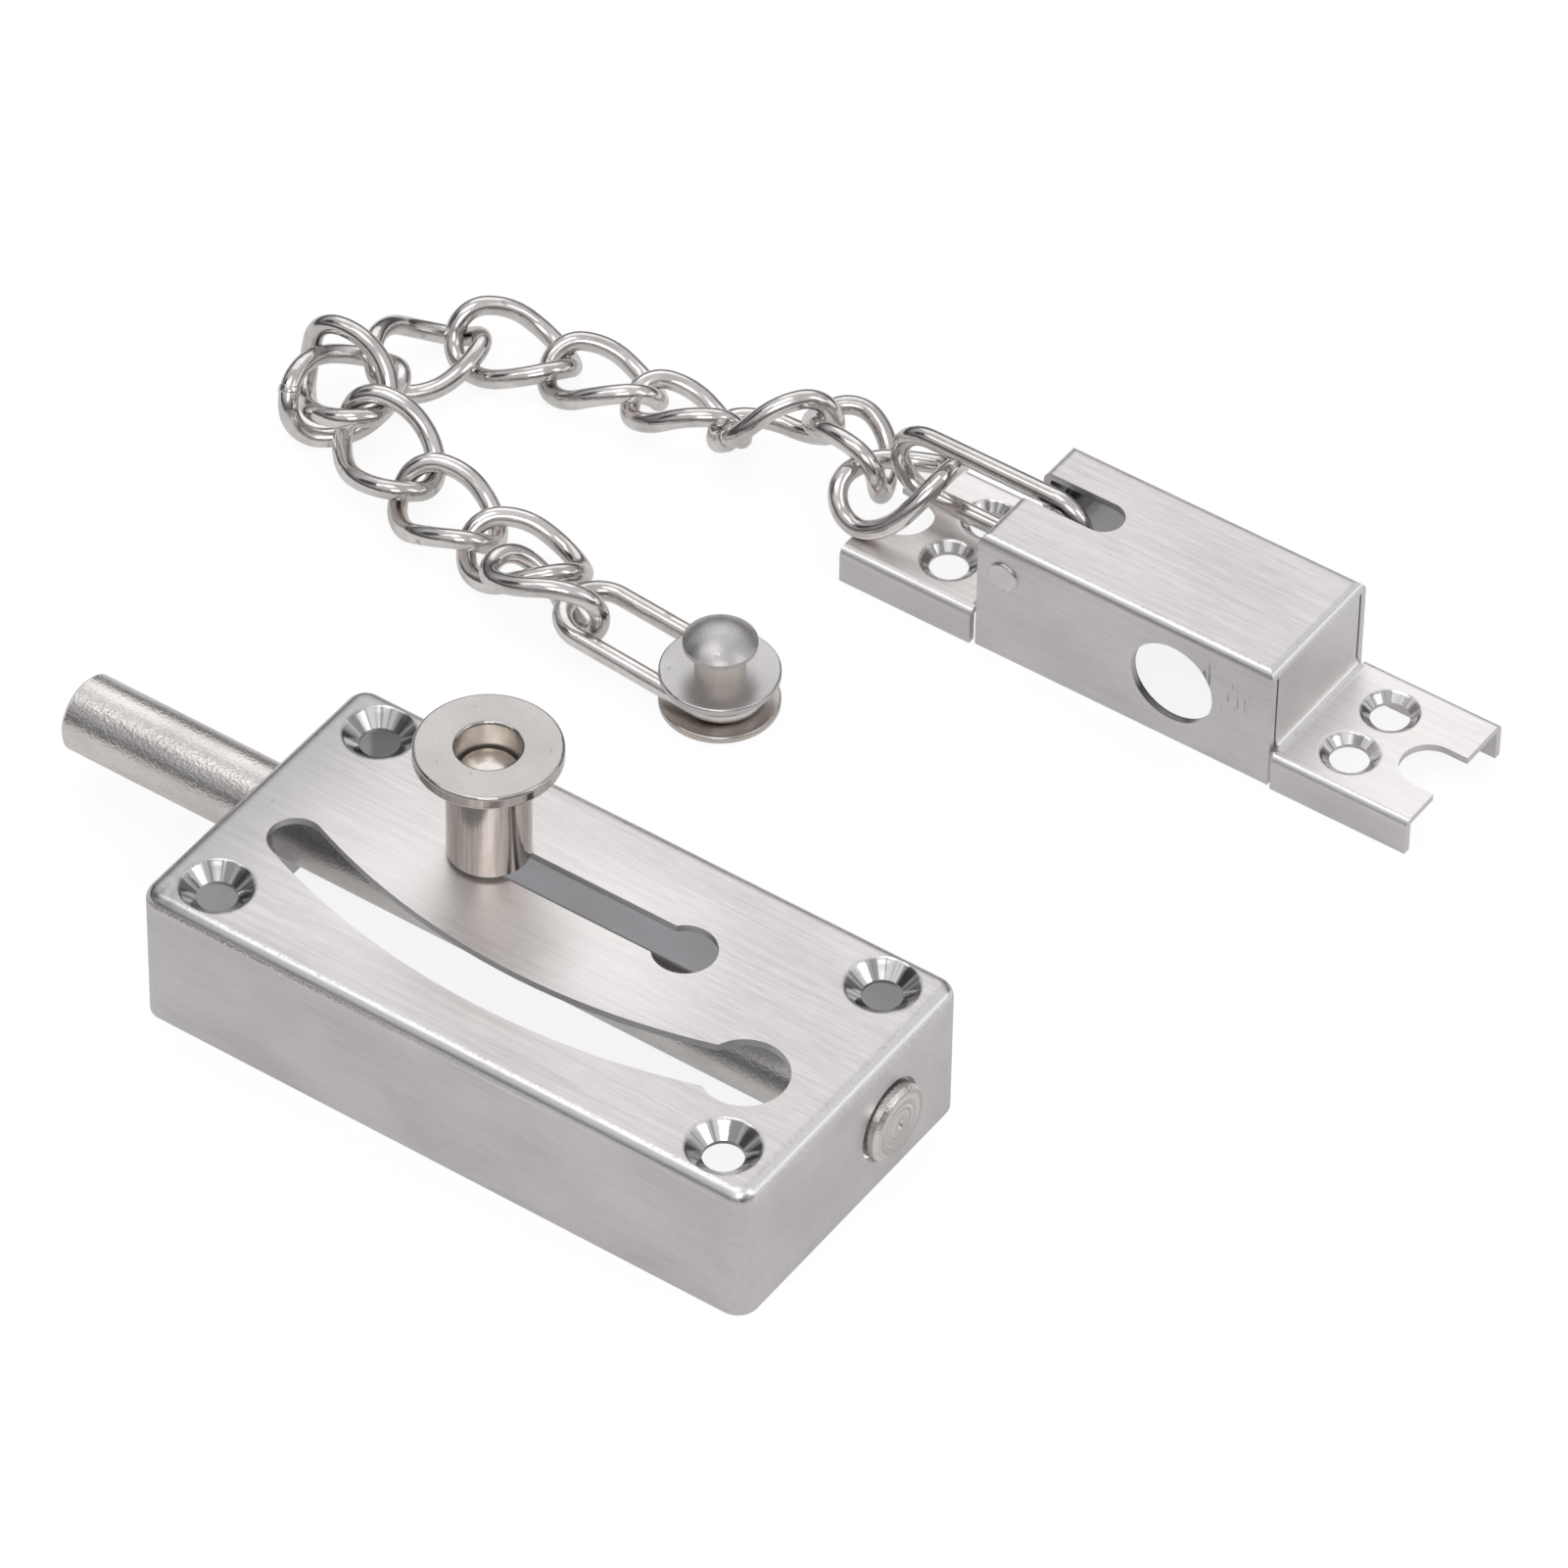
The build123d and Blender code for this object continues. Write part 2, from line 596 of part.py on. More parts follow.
before = [edge.moved(ring_plane.location) for edge in oval_line]

for number, lay in enumerate(CHAIN_LAY, start=1):
    link_plane = hooked_plane(before, link_line, lay)
    with BuildPart() as chain_link:
        with Locations(link_plane.location):
            add(link_wire)
    chain_link.part.label = f"chain_link_{number:02d}"
    export_step(chain_link.part, f"parts/chain_link_{number:02d}.step")
    before = [edge.moved(link_plane.location) for edge in link_line]

end_plane = hooked_plane(before, oval_line, END_LINK_LAY)

with BuildPart() as end_link:
    with Locations(end_plane.location):
        add(oval_wire)

end_link.part.label = "end_link"
export_step(end_link.part, "parts/end_link.step")

# Button: its post stands in the far bend of the end link, between two discs
end_bend = (OVAL_LENGTH - OVAL_WIDTH) / 2
button_centre = end_plane.from_local_coords((end_bend, 0, 0))
button_base = button_centre.Z - BUTTON_WIRE_HEIGHT - DISC_THICKNESS
upper_disc_base = button_base + DISC_THICKNESS + BUTTON_WIRE_ROOM
neck_base = upper_disc_base + DISC_THICKNESS
head_base = neck_base + BUTTON_NECK_LENGTH
head_rim = head_base + BUTTON_HEAD_RIM
head_top = head_rim + BUTTON_HEAD_DOME
head_radius = BUTTON_HEAD_DIAMETER / 2
button_axis = Axis((button_centre.X, button_centre.Y, 0), (0, 0, 1))


def at_button(radius, height):
    """A point of a profile turned about the button's axis."""
    return (button_centre.X + radius, height)


with BuildPart() as button_stud:
    with BuildSketch(Plane.XZ.offset(-button_centre.Y)):
        with BuildLine():
            Polyline(
                at_button(0, head_top),
                at_button(0, button_base),
                at_button(BUTTON_POST_DIAMETER / 2, button_base),
                at_button(BUTTON_POST_DIAMETER / 2, neck_base),
                at_button(BUTTON_NECK_DIAMETER / 2, neck_base),
                at_button(BUTTON_NECK_DIAMETER / 2, head_base),
                at_button(head_radius - BUTTON_RIM_CHAMFER, head_base),
                at_button(head_radius, head_base + BUTTON_RIM_CHAMFER),
                at_button(head_radius, head_rim),
            )
            TangentArc(at_button(0, head_top), at_button(head_radius, head_rim), tangent=(1, 0))
        make_face()
    revolve(axis=button_axis)

button_stud.part.label = "button_stud"
export_step(button_stud.part, "parts/button_stud.step")

for name, base in (("button_lower_disc", button_base), ("button_upper_disc", upper_disc_base)):
    with BuildPart() as disc:
        with BuildSketch(Plane.XY.offset(base)):
            with Locations((button_centre.X, button_centre.Y)):
                Circle(DISC_DIAMETER / 2)
                Circle(BUTTON_POST_DIAMETER / 2, mode=Mode.SUBTRACT)
        extrude(amount=DISC_THICKNESS)
        outer = disc.edges().filter_by(GeomType.CIRCLE).filter_by(
            lambda edge: edge.radius > BUTTON_POST_DIAMETER
        )
        fillet(outer, DISC_EDGE_RADIUS)
    disc.part.label = name
    export_step(disc.part, f"parts/{name}.step")
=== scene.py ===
import math

import bpy
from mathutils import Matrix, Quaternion, Vector


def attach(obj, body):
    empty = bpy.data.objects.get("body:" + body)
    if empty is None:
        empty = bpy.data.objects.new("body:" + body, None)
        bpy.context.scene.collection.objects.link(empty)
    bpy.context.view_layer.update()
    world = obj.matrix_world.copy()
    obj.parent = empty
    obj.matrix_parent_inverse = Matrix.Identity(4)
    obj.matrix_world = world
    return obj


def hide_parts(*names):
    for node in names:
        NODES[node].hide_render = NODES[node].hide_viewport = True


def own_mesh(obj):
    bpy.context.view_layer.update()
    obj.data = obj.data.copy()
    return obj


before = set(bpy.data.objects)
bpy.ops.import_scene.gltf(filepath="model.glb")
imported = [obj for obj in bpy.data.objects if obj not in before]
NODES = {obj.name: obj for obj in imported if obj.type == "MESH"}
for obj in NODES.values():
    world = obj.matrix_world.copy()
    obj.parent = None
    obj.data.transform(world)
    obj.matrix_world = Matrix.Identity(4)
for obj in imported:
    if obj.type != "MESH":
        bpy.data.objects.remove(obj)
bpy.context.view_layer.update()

# Camera, in the photograph's own place: metres and degrees, and millimetres for the lens
CAMERA_PLACE = (0.531402, -0.732235, 0.918755)
CAMERA_AZIMUTH = 34.251
CAMERA_ELEVATION = 44.019
CAMERA_ROLL = 1.013
CAMERA_LENS = 251.447
CAMERA_SENSOR = 36.0
CAMERA_NEAR = 0.05
CAMERA_FAR = 20.0

azimuth = math.radians(CAMERA_AZIMUTH)
elevation = math.radians(CAMERA_ELEVATION)
ahead = Vector(
    (
        -math.sin(azimuth) * math.cos(elevation),
        math.cos(azimuth) * math.cos(elevation),
        -math.sin(elevation),
    )
)
camera_data = bpy.data.cameras.new("camera")
camera_data.lens = CAMERA_LENS
camera_data.sensor_width = CAMERA_SENSOR
camera_data.clip_start = CAMERA_NEAR
camera_data.clip_end = CAMERA_FAR
camera = bpy.data.objects.new("camera", camera_data)
camera.location = CAMERA_PLACE
camera.rotation_mode = "QUATERNION"
level_turn = ahead.to_track_quat("-Z", "Y")
camera.rotation_quaternion = Quaternion(ahead, -math.radians(CAMERA_ROLL)) @ level_turn
bpy.context.scene.collection.objects.link(camera)
bpy.context.scene.camera = camera
bpy.context.scene.view_settings.view_transform = "Standard"

# Sockets of the mix node when it mixes colours
MIX_FACTOR, MIX_FIRST, MIX_SECOND = 0, 6, 7
MIX_RESULT = 2

# How wide the soft step at a limit is, in metres
EDGE = 0.0001


class Signal:
    """One value over a surface. A sign between two of them adds the node that works it out."""

    def __init__(self, finish, socket):
        self.finish = finish
        self.socket = socket

    def worked(self, operation, *values):
        return self.finish.node("ShaderNodeMath", {"operation": operation}, values)

    def __add__(self, other):
        return self.worked("ADD", self, other)

    def __radd__(self, other):
        return self.worked("ADD", other, self)

    def __sub__(self, other):
        return self.worked("SUBTRACT", self, other)

    def __rsub__(self, other):
        return self.worked("SUBTRACT", other, self)

    def __mul__(self, other):
        return self.worked("MULTIPLY", self, other)

    def __truediv__(self, other):
        return self.worked("DIVIDE", self, other)

    def __pow__(self, other):
        return self.worked("POWER", self, other)

    def __abs__(self):
        return self.worked("ABSOLUTE", self)

    def most(self, other):
        return self.worked("MAXIMUM", self, other)

    def least(self, other):
        return self.worked("MINIMUM", self, other)

    def rise(self, low, high):
        """0 below low, 1 above high, and a smooth rise between them."""
        return self.finish.node(
            "ShaderNodeMapRange",
            {"interpolation_type": "SMOOTHSTEP"},
            {"Value": self, "From Min": low, "From Max": high},
        )

    def fall(self, low, high):
        """1 below low, 0 above high, and a smooth fall between them."""
        return 1.0 - self.rise(low, high)

    def between(self, start, end):
        """1 from the start to the end, each given as the two limits of its smooth step."""
        return self.rise(*start) * self.fall(*end)

    def under(self, limit, step=EDGE):
        """1 below the limit and 0 above it, with a soft step that ends at the limit."""
        return self.fall(limit - step, limit)


def reach(across, along, share=1.0):
    """How far off a place is. A share under 1 makes a patch that is longer across."""
    return (across * across * share + along * along) ** 0.5


class Finish:
    """A material that is worked out over a surface, with the nodes that feed its shader."""

    def __init__(self, name):
        self.material = bpy.data.materials.new(name)
        self.material.use_nodes = True
        tree = self.material.node_tree
        self.start(tree, "ShaderNodeBsdfPrincipled", "ShaderNodeOutputMaterial")

    def start(self, tree, shader, closing):
        """Empties the tree and joins one shader to its output."""
        self.tree = tree
        tree.nodes.clear()
        self.shader = tree.nodes.new(shader)
        tree.links.new(self.shader.outputs[0], tree.nodes.new(closing).inputs["Surface"])

    def node(self, kind, settings=None, values=(), output=0):
        made = self.tree.nodes.new(kind)
        for name, value in (settings or {}).items():
            setattr(made, name, value)
        pairs = values.items() if isinstance(values, dict) else enumerate(values)
        for key, value in pairs:
            self.feed(made.inputs[key], value)
        return Signal(self, made.outputs[output])

    def feed(self, socket, value):
        if isinstance(value, Signal):
            self.tree.links.new(value.socket, socket)
        else:
            socket.default_value = value

    def set(self, **values):
        """Feeds the shader's own sockets, with _ for each space in a socket's name."""
        for name, value in values.items():
            self.feed(self.shader.inputs[name.replace("_", " ")], value)

    def parts_of(self, vector):
        split = self.tree.nodes.new("ShaderNodeSeparateXYZ")
        self.feed(split.inputs[0], vector)
        return [Signal(self, part) for part in split.outputs]

    def joined(self, *values):
        return self.node("ShaderNodeCombineXYZ", None, values)

    def light_path(self, kind):
        """1 for the light rays of this kind, and 0 for all others."""
        return self.node("ShaderNodeLightPath", output=kind)

    def colours(self, factor, first, second):
        """The first colour where the factor is 0, and the second where it is 1."""
        first, second = [
            (*tint, 1) if isinstance(tint, tuple) else tint for tint in (first, second)
        ]
        values = {MIX_FACTOR: factor, MIX_FIRST: first, MIX_SECOND: second}
        return self.node("ShaderNodeMix", {"data_type": "RGBA"}, values, output=MIX_RESULT)


class Metal(Finish):
    """A worn metal, whose tints are laid one over another."""

    def __init__(self, name, seed):
        super().__init__(name)
        self.seed = seed
        self.place = self.node("ShaderNodeTexCoord", output="Object")

    def facing(self):
        """The way that each face looks, as its parts along x, y and z."""
        return self.parts_of(self.node("ShaderNodeTexCoord", output="Normal"))

    def noise(self, vector, detail, roughness=0.5):
        values = {"Vector": vector, "Scale": 1.0, "Detail": detail, "Roughness": roughness}
        return self.node("ShaderNodeTexNoise", None, values)

    def pattern(self, repeats, row, detail, roughness=0.5, turn=(0, 0, 0)):
        """Noise with so many repeats in a metre. Each row and each seed gives another one."""
        values = {
            "Vector": self.place,
            "Scale": repeats,
            "Location": (self.seed, row, 0),
            "Rotation": turn,
        }
        stretched = self.node("ShaderNodeMapping", {"vector_type": "POINT"}, values)
        return self.noise(stretched, detail, roughness)

    def base(self, tone, tints):
        """The first coat: the lighter tint where the tone is 1, the darker where it is 0."""
        light, dark = tints
        self.colour = self.colours(tone, dark, light)

    def lay(self, share, tint):
        """Lays a tint over the coats so far, as thick as the share says."""
        self.colour = self.colours(share, self.colour, tint)

    def finished(self, rough, height, strength, depth):
        """The material, with its roughness and its fine relief."""
        relief = {"Height": height, "Strength": strength, "Distance": depth}
        self.set(
            Base_Color=self.colour,
            Metallic=1.0,
            Roughness=rough,
            Normal=self.node("ShaderNodeBump", None, relief),
        )
        return self.material


# Tints that several metals share
# Dark tint for real marks, and also for painted shade on the case's near fold
SMUDGE_AND_SHADE = (0.22, 0.20, 0.19)
# Bright tint for burnished nicks, and also for painted highlights and glints on the sheet
BURNISH_AND_HIGHLIGHT = (0.95, 0.94, 0.93)

# Contrasts of a pattern: it counts as 0 below the first value and as 1 above the second
SOFT = (0.3, 0.7)
CLOUDY = (0.32, 0.68)
FIRM = (0.34, 0.66)

# Brushed sheet: its tints, the lighter before the darker
SHEET = (0.84, 0.81, 0.795), (0.62, 0.59, 0.58)
# Painted shade: the upright faces' tints, darker and bluer than the top's
SHADED_WALL = (0.76, 0.73, 0.735), (0.60, 0.575, 0.58)
# Painted light on the shaded inside faces, pale and a little blue
INSIDE_PAINTED_LIGHT = (0.66, 0.68, 0.71)
SINK_DEEP = (0.40, 0.39, 0.39)
# Tint that the case takes on towards its left end
LEFT_END_TINT = (0.46, 0.45, 0.46)
# Painted light, round the knob on the case and on the keeper's low flanges
PAINTED_LIGHT_TINT = (0.99, 0.955, 0.935)

# Brushed sheet: its patterns, as repeats in a metre
BRUSH_LINES = (230, 4300, 4300)
LONG_STREAKS = (45, 1500, 1500)
SHEET_CLOUDS = (60, 90, 90)
SPECKS = (3800, 3800, 3800)
BLOTCHES = (900, 900, 900)
PITS = (420, 700, 700)
NICK_LINES = (2100, 300, 260)
NICK_TURN = (0, 0.35, 0)

# Rays round a sink: how finely the broad ones and the fine ones are parted
BROAD_RAYS = 2.2
FINE_RAYS = 22.0

# Brushed sheet: how far up a face looks, from 0 for a wall to 1 for a level face, and how
# far the specks tear the edges of a fold's bands
LEVEL_FACE = (0.93, 0.995)
WALL_FACE = (0.03, 0.15)
FOLD_FACE = (0.0, 0.02)
TORN = 0.3
# Bands of a fold, as how far up its face looks: the painted highlight and the painted shade
PAINTED_HIGHLIGHT_BAND = (0.34, 0.5), (0.9, 0.97)
PAINTED_SHADE_BAND = (0.1, 0.22), (0.34, 0.46)
DARK_END_FACE = (0.2, 0.9)
CORNER_FACE = (0.3, 0.6)
SINK_FACE = (0.1, 0.3), (0.93, 0.985)

# Brushed sheet: how far a face looks towards the near side or the right end
NEAR_FACE = (-0.55, -0.2)
NICK_FACE = (-0.9, -0.5)
END_FACE = (0.6, 0.9)

# Brushed sheet: its marks and its painted light and shade, in metres, from the plate's centre
# and up from the floor. The shaded end is measured towards the left, and the darker end about
# the left end's inner face.
SHADED_END = (-0.018, 0.03)
DARK_END_START = 0.014
DARK_END_STOP = 0.002
LIT_PLACE = (-0.006, 0.000)
LIT_REACH = (0.006, 0.024)
LOW_FLANGE = (0.007, 0.009)
CORNER_REACH = (0.001, 0.0065)
NICK_PLACE = (0.0128, 0.0118)
NICK_REACH = (0.0012, 0.0042)
SINK_EDGE = 0.0004
MIDDLE = (-0.001, 0.001)


class Plate:
    """Where a sheet part has its hollow and its screws, in metres, and which marks and
    painted light it has.
    """

    def __init__(self, centre, inner, ceiling, screws, screw_reach, case_marks_and_light):
        self.centre = centre
        self.inner = inner
        self.ceiling = ceiling
        self.screws = screws
        self.screw_reach = screw_reach
        self.case_marks_and_light = case_marks_and_light
        self.keeper_marks_and_light = 1.0 - case_marks_and_light


CASE_PLATE = Plate(
    centre=(0.0, 0.0),
    inner=(0.0428, 0.0213),
    ceiling=0.0193,
    screws=(0.03625, 0.016),
    screw_reach=0.0047,
    case_marks_and_light=1.0,
)
KEEPER_PLATE = Plate(
    centre=(0.0224, 0.0979),
    inner=(0.0206, 0.0096),
    ceiling=0.0175,
    screws=(0.02925, 0.0045),
    screw_reach=0.0039,
    case_marks_and_light=0.0,
)


class Sheet(Metal):
    """Stainless sheet. Each method lays one feature over the ones before it."""

    def __init__(self, name, plate, seed):
        super().__init__(name, seed)
        self.plate = plate
        x, y, self.z = self.parts_of(self.place)
        self.x, self.y = x - plate.centre[0], y - plate.centre[1]
        self.facing_x, self.facing_y, self.facing_z = self.facing()
        self.level = self.facing_z.rise(*LEVEL_FACE)
        self.upright = abs(self.facing_z).fall(*WALL_FACE)
        self.fine = self.pattern(BRUSH_LINES, row=0, detail=3, roughness=0.75)
        self.long_streak = self.pattern(LONG_STREAKS, row=5, detail=3)
        self.cloud = self.pattern(SHEET_CLOUDS, row=9, detail=3)
        self.speck = self.pattern(SPECKS, row=2, detail=2)

    def brushing_and_wall_shade(self):
        """Fine streaks that run along the plate, softer on its walls. The walls get painted shade:
        tints darker and bluer than the top's.
        """
        lines = (self.fine * 0.62 + self.long_streak * 0.38).rise(*FIRM)
        self.tone = lines * 0.72 + self.cloud.rise(*CLOUDY) * 0.28
        self.base(self.tone, SHEET)
        shaded_wall_pale, shaded_wall_deep = SHADED_WALL
        shaded_wall_tone = lines * 0.45 + self.cloud.rise(*SOFT) * 0.55
        # Painted shade on the walls, over their softer streaks
        self.lay(self.upright, self.colours(shaded_wall_tone, shaded_wall_deep, shaded_wall_pale))

    def folds(self):
        """A painted highlight along each fold, and on the case's near fold a band of painted
        shade below it, with painted glints, torn at the edge.
        """
        fold = (1.0 - self.level - self.upright).most(0.0) * self.facing_z.rise(*FOLD_FACE)
        torn = self.facing_z + (self.speck - 0.5) * TORN
        # Painted highlight along the fold
        painted_highlight = torn.between(*PAINTED_HIGHLIGHT_BAND) * fold
        self.lay(painted_highlight * 0.85, BURNISH_AND_HIGHLIGHT)
        # Painted shade below it on the case's near fold, towards the left end, with painted glints
        shaded_end = (self.x * -1.0).rise(*SHADED_END) * self.facing_y.fall(*NEAR_FACE)
        painted_shade = torn.between(*PAINTED_SHADE_BAND) * shaded_end * fold * self.plate.case_marks_and_light
        sparkle = self.speck.rise(0.38, 0.62)
        self.lay(painted_shade * (0.7 - sparkle * 0.6), SMUDGE_AND_SHADE)
        self.lay(painted_shade * self.speck.rise(0.6, 0.68), BURNISH_AND_HIGHLIGHT)
        return painted_highlight, painted_shade * sparkle

    def end_tint_and_painted_light(self):
        """The case gets a darker tint towards its left end, and painted light round the knob.
        The keeper gets painted light on its low flanges and on its end wall."""
        plate = self.plate
        end = plate.inner[0]
        # Darker towards the case's left end
        darker_left_end = (self.x * -1.0).rise(end - DARK_END_START, end + DARK_END_STOP) * plate.case_marks_and_light
        self.lay(darker_left_end * self.facing_z.rise(*DARK_END_FACE) * 0.7, LEFT_END_TINT)
        # Painted light: a bright warm tint round the knob on the case's level faces
        off_knob = reach(self.x - LIT_PLACE[0], self.y - LIT_PLACE[1], share=0.5)
        lit_round_knob = off_knob.fall(*LIT_REACH) * plate.case_marks_and_light
        # Painted light on the keeper's low flanges as well
        low = self.z.fall(*LOW_FLANGE) * plate.keeper_marks_and_light
        self.lay(self.level * lit_round_knob.most(low) * (0.6 + self.tone * 0.4), PAINTED_LIGHT_TINT)
        # Painted light on the keeper's end wall
        self.lay(self.facing_x.rise(*END_FACE) * plate.keeper_marks_and_light * 0.2, BURNISH_AND_HIGHLIGHT)

    def drawn_corner(self):
        """The case's near left corner is mottled where the sheet was drawn."""
        plate = self.plate
        off_corner = reach(self.x + plate.inner[0], self.y + plate.inner[1])
        mottle = off_corner.fall(*CORNER_REACH) * self.facing_z.rise(*CORNER_FACE)
        blotch = self.pattern(BLOTCHES, row=3, detail=4).rise(0.46, 0.62)
        self.lay(mottle * blotch * 0.45 * plate.case_marks_and_light, SMUDGE_AND_SHADE)

    def pits_and_nicks(self):
        """A few fine pits, and nicks beside the hole in the keeper's near wall."""
        pits = self.pattern(PITS, row=7, detail=1).rise(0.81, 0.83) * (1.0 - self.upright) * 0.3
        self.lay(pits, SMUDGE_AND_SHADE)
        off_nicks = reach(self.x - NICK_PLACE[0], self.z - NICK_PLACE[1], share=0.35)
        lines = self.pattern(NICK_LINES, row=8, detail=2, turn=NICK_TURN).rise(0.58, 0.66)
        nicks = off_nicks.fall(*NICK_REACH) * lines * self.plate.keeper_marks_and_light
        near_wall = self.upright * self.facing_y.fall(*NICK_FACE)
        self.lay((nicks * near_wall).least(0.75), SMUDGE_AND_SHADE)
        return pits

    def sinks(self):
        """The screws' sinks are smooth, with dark and bright rays round their holes."""
        plate = self.plate
        across, along = abs(self.x) - plate.screws[0], abs(self.y) - plate.screws[1]
        out = reach(across, along)
        across, along = across / out, along / out
        mirrored = (self.x.rise(-EDGE, EDGE) * 2.0 - 1.0) * across
        # Each of the four sinks has its own layer of the noise
        layer = self.x.rise(*MIDDLE) * 7.0 + self.y.rise(*MIDDLE) * 3.0 + self.seed
        broad = self.joined(mirrored * BROAD_RAYS, along * BROAD_RAYS, layer)
        fine = self.joined(across * FINE_RAYS, along * FINE_RAYS, layer)
        rays = self.noise(broad, detail=2) * 0.72 + self.noise(fine, detail=2) * 0.28
        ray = rays.rise(0.43, 0.56)
        sink = out.under(plate.screw_reach, SINK_EDGE) * self.facing_z.between(*SINK_FACE)
        self.lay(sink, self.colours(ray, SINK_DEEP, BURNISH_AND_HIGHLIGHT))
        return sink

    def hollow(self, sink):
        """Inside, but not in the sinks, the drawn sheet is smooth, and painted light makes its
        shaded faces pale and a little blue.
        """
        plate = self.plate
        within = abs(self.x).under(plate.inner[0]) * abs(self.y).under(plate.inner[1])
        inside = within * self.z.under(plate.ceiling)
        inside_painted_light = self.colours(self.cloud.rise(*SOFT), SHADED_WALL[1], INSIDE_PAINTED_LIGHT)
        self.lay(inside * (1.0 - sink), inside_painted_light)
        return inside


def brushed_sheet(name, plate, seed):
    """Stainless sheet: brushed faces, painted shade on the walls, smoother folds with a painted
    highlight and painted shade, turned sinks and a smooth inside with painted light.
    """
    sheet = Sheet(name, plate, seed)
    sheet.brushing_and_wall_shade()
    painted_highlight, painted_shade_sparkle = sheet.folds()
    sheet.end_tint_and_painted_light()
    sheet.drawn_corner()
    pits = sheet.pits_and_nicks()
    sink = sheet.sinks()
    inside = sheet.hollow(sink)
    rough = 0.35 + sheet.fine * 0.12 + sheet.cloud * 0.06 - painted_highlight * 0.15
    rough = rough * (1.0 - sink) + sink * 0.16 - inside * 0.06
    height = sheet.fine * 0.65 + sheet.long_streak * 0.35 - pits * 0.3 + painted_shade_sparkle * 0.8
    return sheet.finished(rough, height * (1.0 - sink), strength=0.55, depth=0.00004)


# Wire: its patterns, as repeats in a metre
WIRE_PEEL = (900, 900, 900)
WIRE_CLOUDS = (150, 150, 150)
WISPS = (420, 3600, 3600)
WISP_TURN = (0.3, 0.5, 0.9)
BACK_WISPS = (3300, 380, 3300)
BACK_WISP_TURN = (0.7, 0.2, 0.4)
SCARS = (520, 520, 520)


def wire_plate(name, tints, rough, seed, scratch):
    """Bright nickel plate on wire, with drawing lines, soft stains and small scars."""
    metal = Metal(name, seed)
    peel = metal.pattern(WIRE_PEEL, row=1, detail=3)
    cloud = metal.pattern(WIRE_CLOUDS, row=4, detail=3)
    wisp = metal.pattern(WISPS, row=6, detail=2, turn=WISP_TURN).rise(0.62, 0.72)
    wisp_back = metal.pattern(BACK_WISPS, row=2, detail=2, turn=BACK_WISP_TURN).rise(0.64, 0.74)
    scratches = (wisp + wisp_back).least(1.0) * scratch
    scars = metal.pattern(SCARS, row=3, detail=3).rise(0.66, 0.73) * 0.6
    metal.base(cloud.rise(*SOFT) * 0.8 + peel.rise(*SOFT) * 0.2, tints)
    metal.lay(scars * 0.7, SMUDGE_AND_SHADE)
    rough = rough + cloud * 0.07 + scratches * 0.2 + scars * 0.2
    height = peel * 0.7 - scratches * 0.4 - scars * 0.5
    return metal.finished(rough, height, strength=0.35, depth=0.00005)


# Bolt: its axis along x, as its place in y and z, its patterns and its turned end
BOLT_AXIS = (0.0073, 0.009)
BAR_PEEL = (2000, 3100, 3100)
BAR_WAVES = (260, 700, 700)
BAR_CLOUDS = (90, 220, 220)
BAR_RINGS = 4200.0
BAR_RING_WAVES = 60.0
BAR_END_FACE = (0.7, 0.9)
BAR_END_TINT = (0.52, 0.48, 0.45)


def bolt_plate(name, tints, seed):
    """Nickel plate on drawn bar: orange peel that breaks up the highlights lengthwise."""
    metal = Metal(name, seed)
    y, z = metal.parts_of(metal.place)[1:]
    peel = metal.pattern(BAR_PEEL, row=1, detail=3)
    wave = metal.pattern(BAR_WAVES, row=3, detail=3)
    cloud = metal.pattern(BAR_CLOUDS, row=4, detail=3)
    off_y, off_z = y - BOLT_AXIS[0], z - BOLT_AXIS[1]
    out = reach(off_y, off_z)
    turning = (out * BAR_RINGS, off_y * BAR_RING_WAVES, off_z * BAR_RING_WAVES)
    rings = metal.noise(metal.joined(*turning), detail=3)
    end = abs(metal.facing()[0]).rise(*BAR_END_FACE)
    metal.base(cloud.rise(*SOFT) * 0.7 + peel.rise(0.35, 0.65) * 0.3, tints)
    metal.lay(end * rings.rise(0.4, 0.6), BAR_END_TINT)
    rough = 0.21 + peel * 0.1 + end * 0.08
    height = peel * (1.0 - end) + wave * 0.5 + rings * end * 0.6
    return metal.finished(rough, height, strength=0.85, depth=0.00008)


# Turned parts: their patterns, faces and tints, and the reach of the knob's bore
TURNED_RINGS = 5200.0
RING_HEIGHTS = 2500.0
SIDE_LINES = 16.0
LINE_HEIGHTS = 90.0
TURNED_CLOUDS = (170, 170, 170)
TURNED_GRAIN = (3200, 3200, 3200)
RIM_NICKS = (800, 800, 800)
TURNED_LEVEL_FACE = (0.9, 0.99)
TURNED_SIDE_FACE = (0.05, 0.2)
# Dark lines down turned sides: partly drawing lines, partly painted reflection stripes
LINE_AND_REFLECTION_TINT = (0.40, 0.35, 0.31)
# Painted reflection: a warm tint on turned sides, as of the warm sheet that they reflect
WARM_REFLECTION_TINT = (0.62, 0.54, 0.47)
# Painted light in the knob's bore and on faces near its axis, which lie in shade
BORE_PAINTED_LIGHT = (0.97, 0.92, 0.86)
BORE_REACH = (0.0041, 0.0045)


